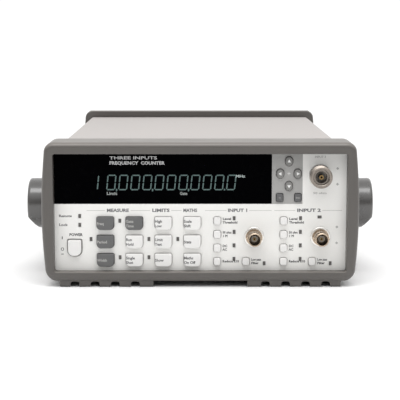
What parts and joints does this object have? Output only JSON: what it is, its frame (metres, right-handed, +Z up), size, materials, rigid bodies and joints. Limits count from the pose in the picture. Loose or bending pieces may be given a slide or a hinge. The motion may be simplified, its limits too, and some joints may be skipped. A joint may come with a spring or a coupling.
{
  "type": "frequency counter",
  "caption": "Half-rack bench frequency counter with rubber end bumpers, painted sleeve, push keys, coaxial jacks and a swinging carry handle.",
  "frame": {"origin": "bottom centre of the bounding box, on the surface that the feet stand on", "axes": "+Z up, -Y out of the front panel, +X to the right when facing the front panel"},
  "size_m": [0.2564, 0.3816, 0.1038],
  "materials": {
    "bumper_rubber": "fine matte moulded texture",
    "cover_paint": "satin powder coat",
    "steel_plate": "zinc plated",
    "rear_plate": "satin paint",
    "panel_plastic": "fine matte moulded texture",
    "window_plastic": "smooth dark tint",
    "display_glass": "clear glass over dark electrodes",
    "circuit_board": "solder mask",
    "silicone": "matte",
    "lens_plastic": "smoked translucent",
    "black_plastic": "matte moulded",
    "tinned_steel": "tin plated",
    "supply_parts": "mixed electronic parts",
    "nickel": "bright nickel plate",
    "white_insulator": "fluoropolymer",
    "gold_contacts": "gold plated",
    "cable_grey": "flexible insulation",
    "handle_plastic": "semi-matte moulded",
    "dark_key_plastic": "fine matte",
    "arrow_key_plastic": "fine matte",
    "square_key_plastic": "fine matte",
    "light_key_plastic": "fine matte"
  },
  "bodies": {
    "instrument": {"front_bumper": "bumper_rubber", "rear_bumper": "bumper_rubber", "cover": "cover_paint", "chassis": "steel_plate", "rear_panel": "rear_plate", "front_panel": "panel_plastic", "display_window": "window_plastic", "display_module": "display_glass", "front_board": "circuit_board", "keypad_mat": "silicone", "indicator_lenses": "lens_plastic", "main_board": "circuit_board", "main_board_components": "black_plastic", "input_shield": "tinned_steel", "timebase_oven": "tinned_steel", "power_supply": "supply_parts", "power_inlet": "black_plastic", "fan_housing": "black_plastic", "bus_connector": "tinned_steel", "serial_connector": "tinned_steel", "front_jacks": "nickel", "channel_3_jack": "nickel", "rear_jacks": "nickel", "jack_insulators": "white_insulator", "connector_contacts": "gold_contacts", "ribbon_cable": "cable_grey", "internal_wiring": "cable_grey", "handle_bosses": "steel_plate", "screws": "steel_plate"},
    "carry_handle": {"handle": "handle_plastic"},
    "fan_blades": {"fan_rotor": "black_plastic"},
    "measure_key_1_cap": {"measure_key_1": "dark_key_plastic"},
    "measure_key_2_cap": {"measure_key_2": "dark_key_plastic"},
    "measure_key_3_cap": {"measure_key_3": "dark_key_plastic"},
    "gate_key_cap": {"gate_key": "dark_key_plastic"},
    "run_key_cap": {"run_key": "light_key_plastic"},
    "stop_key_cap": {"stop_key": "light_key_plastic"},
    "limits_key_1_cap": {"limits_key_1": "light_key_plastic"},
    "limits_key_2_cap": {"limits_key_2": "light_key_plastic"},
    "limits_key_3_cap": {"limits_key_3": "light_key_plastic"},
    "maths_key_1_cap": {"maths_key_1": "light_key_plastic"},
    "maths_key_2_cap": {"maths_key_2": "light_key_plastic"},
    "maths_key_3_cap": {"maths_key_3": "light_key_plastic"},
    "input_1_key_1_cap": {"input_1_key_1": "light_key_plastic"},
    "input_1_key_2_cap": {"input_1_key_2": "light_key_plastic"},
    "input_1_key_3_cap": {"input_1_key_3": "light_key_plastic"},
    "input_1_key_4_cap": {"input_1_key_4": "light_key_plastic"},
    "input_1_key_5_cap": {"input_1_key_5": "light_key_plastic"},
    "input_2_key_1_cap": {"input_2_key_1": "light_key_plastic"},
    "input_2_key_2_cap": {"input_2_key_2": "light_key_plastic"},
    "input_2_key_3_cap": {"input_2_key_3": "light_key_plastic"},
    "input_2_key_4_cap": {"input_2_key_4": "light_key_plastic"},
    "input_2_key_5_cap": {"input_2_key_5": "light_key_plastic"},
    "arrow_up_key_cap": {"arrow_up_key": "arrow_key_plastic"},
    "arrow_down_key_cap": {"arrow_down_key": "arrow_key_plastic"},
    "arrow_left_key_cap": {"arrow_left_key": "arrow_key_plastic"},
    "arrow_right_key_cap": {"arrow_right_key": "arrow_key_plastic"},
    "sign_key_cap": {"sign_key": "square_key_plastic"},
    "enter_key_cap": {"enter_key": "square_key_plastic"},
    "power_button_cap": {"power_button": "light_key_plastic"}
  },
  "joints": [
    {"name": "handle_swing", "type": "hinge", "parent": "instrument", "child": "carry_handle", "pos_m": [0, -0.12625, 0.05325], "axis": [-1, 0, 0], "range_deg": [0, 290]},
    {"name": "fan_spin", "type": "hinge", "parent": "instrument", "child": "fan_blades", "pos_m": [-0.014, 0.16175, 0.05335], "axis": [0, 1, 0], "continuous": true},
    {"name": "measure_key_1_press", "type": "slide", "parent": "instrument", "child": "measure_key_1_cap", "axis": [0, 1, 0], "range_m": [0, 0.0012], "stiffness_N_per_m": 300, "springref_m": -0.001},
    {"name": "measure_key_2_press", "type": "slide", "parent": "instrument", "child": "measure_key_2_cap", "axis": [0, 1, 0], "range_m": [0, 0.0012], "stiffness_N_per_m": 300, "springref_m": -0.001},
    {"name": "measure_key_3_press", "type": "slide", "parent": "instrument", "child": "measure_key_3_cap", "axis": [0, 1, 0], "range_m": [0, 0.0012], "stiffness_N_per_m": 300, "springref_m": -0.001},
    {"name": "gate_key_press", "type": "slide", "parent": "instrument", "child": "gate_key_cap", "axis": [0, 1, 0], "range_m": [0, 0.0012], "stiffness_N_per_m": 300, "springref_m": -0.001},
    {"name": "run_key_press", "type": "slide", "parent": "instrument", "child": "run_key_cap", "axis": [0, 1, 0], "range_m": [0, 0.0012], "stiffness_N_per_m": 300, "springref_m": -0.001},
    {"name": "stop_key_press", "type": "slide", "parent": "instrument", "child": "stop_key_cap", "axis": [0, 1, 0], "range_m": [0, 0.0012], "stiffness_N_per_m": 300, "springref_m": -0.001},
    {"name": "limits_key_1_press", "type": "slide", "parent": "instrument", "child": "limits_key_1_cap", "axis": [0, 1, 0], "range_m": [0, 0.0012], "stiffness_N_per_m": 300, "springref_m": -0.001},
    {"name": "limits_key_2_press", "type": "slide", "parent": "instrument", "child": "limits_key_2_cap", "axis": [0, 1, 0], "range_m": [0, 0.0012], "stiffness_N_per_m": 300, "springref_m": -0.001},
    {"name": "limits_key_3_press", "type": "slide", "parent": "instrument", "child": "limits_key_3_cap", "axis": [0, 1, 0], "range_m": [0, 0.0012], "stiffness_N_per_m": 300, "springref_m": -0.001},
    {"name": "maths_key_1_press", "type": "slide", "parent": "instrument", "child": "maths_key_1_cap", "axis": [0, 1, 0], "range_m": [0, 0.0012], "stiffness_N_per_m": 300, "springref_m": -0.001},
    {"name": "maths_key_2_press", "type": "slide", "parent": "instrument", "child": "maths_key_2_cap", "axis": [0, 1, 0], "range_m": [0, 0.0012], "stiffness_N_per_m": 300, "springref_m": -0.001},
    {"name": "maths_key_3_press", "type": "slide", "parent": "instrument", "child": "maths_key_3_cap", "axis": [0, 1, 0], "range_m": [0, 0.0012], "stiffness_N_per_m": 300, "springref_m": -0.001},
    {"name": "input_1_key_1_press", "type": "slide", "parent": "instrument", "child": "input_1_key_1_cap", "axis": [0, 1, 0], "range_m": [0, 0.0012], "stiffness_N_per_m": 300, "springref_m": -0.001},
    {"name": "input_1_key_2_press", "type": "slide", "parent": "instrument", "child": "input_1_key_2_cap", "axis": [0, 1, 0], "range_m": [0, 0.0012], "stiffness_N_per_m": 300, "springref_m": -0.001},
    {"name": "input_1_key_3_press", "type": "slide", "parent": "instrument", "child": "input_1_key_3_cap", "axis": [0, 1, 0], "range_m": [0, 0.0012], "stiffness_N_per_m": 300, "springref_m": -0.001},
    {"name": "input_1_key_4_press", "type": "slide", "parent": "instrument", "child": "input_1_key_4_cap", "axis": [0, 1, 0], "range_m": [0, 0.0012], "stiffness_N_per_m": 300, "springref_m": -0.001},
    {"name": "input_1_key_5_press", "type": "slide", "parent": "instrument", "child": "input_1_key_5_cap", "axis": [0, 1, 0], "range_m": [0, 0.0012], "stiffness_N_per_m": 300, "springref_m": -0.001},
    {"name": "input_2_key_1_press", "type": "slide", "parent": "instrument", "child": "input_2_key_1_cap", "axis": [0, 1, 0], "range_m": [0, 0.0012], "stiffness_N_per_m": 300, "springref_m": -0.001},
    {"name": "input_2_key_2_press", "type": "slide", "parent": "instrument", "child": "input_2_key_2_cap", "axis": [0, 1, 0], "range_m": [0, 0.0012], "stiffness_N_per_m": 300, "springref_m": -0.001},
    {"name": "input_2_key_3_press", "type": "slide", "parent": "instrument", "child": "input_2_key_3_cap", "axis": [0, 1, 0], "range_m": [0, 0.0012], "stiffness_N_per_m": 300, "springref_m": -0.001},
    {"name": "input_2_key_4_press", "type": "slide", "parent": "instrument", "child": "input_2_key_4_cap", "axis": [0, 1, 0], "range_m": [0, 0.0012], "stiffness_N_per_m": 300, "springref_m": -0.001},
    {"name": "input_2_key_5_press", "type": "slide", "parent": "instrument", "child": "input_2_key_5_cap", "axis": [0, 1, 0], "range_m": [0, 0.0012], "stiffness_N_per_m": 300, "springref_m": -0.001},
    {"name": "arrow_up_key_press", "type": "slide", "parent": "instrument", "child": "arrow_up_key_cap", "axis": [0, 1, 0], "range_m": [0, 0.0012], "stiffness_N_per_m": 300, "springref_m": -0.001},
    {"name": "arrow_down_key_press", "type": "slide", "parent": "instrument", "child": "arrow_down_key_cap", "axis": [0, 1, 0], "range_m": [0, 0.0012], "stiffness_N_per_m": 300, "springref_m": -0.001},
    {"name": "arrow_left_key_press", "type": "slide", "parent": "instrument", "child": "arrow_left_key_cap", "axis": [0, 1, 0], "range_m": [0, 0.0012], "stiffness_N_per_m": 300, "springref_m": -0.001},
    {"name": "arrow_right_key_press", "type": "slide", "parent": "instrument", "child": "arrow_right_key_cap", "axis": [0, 1, 0], "range_m": [0, 0.0012], "stiffness_N_per_m": 300, "springref_m": -0.001},
    {"name": "sign_key_press", "type": "slide", "parent": "instrument", "child": "sign_key_cap", "axis": [0, 1, 0], "range_m": [0, 0.0012], "stiffness_N_per_m": 300, "springref_m": -0.001},
    {"name": "enter_key_press", "type": "slide", "parent": "instrument", "child": "enter_key_cap", "axis": [0, 1, 0], "range_m": [0, 0.0012], "stiffness_N_per_m": 300, "springref_m": -0.001},
    {"name": "power_button_press", "type": "slide", "parent": "instrument", "child": "power_button_cap", "axis": [0, 1, 0], "range_m": [0, 0.0012], "stiffness_N_per_m": 300, "springref_m": -0.001}
  ]
}
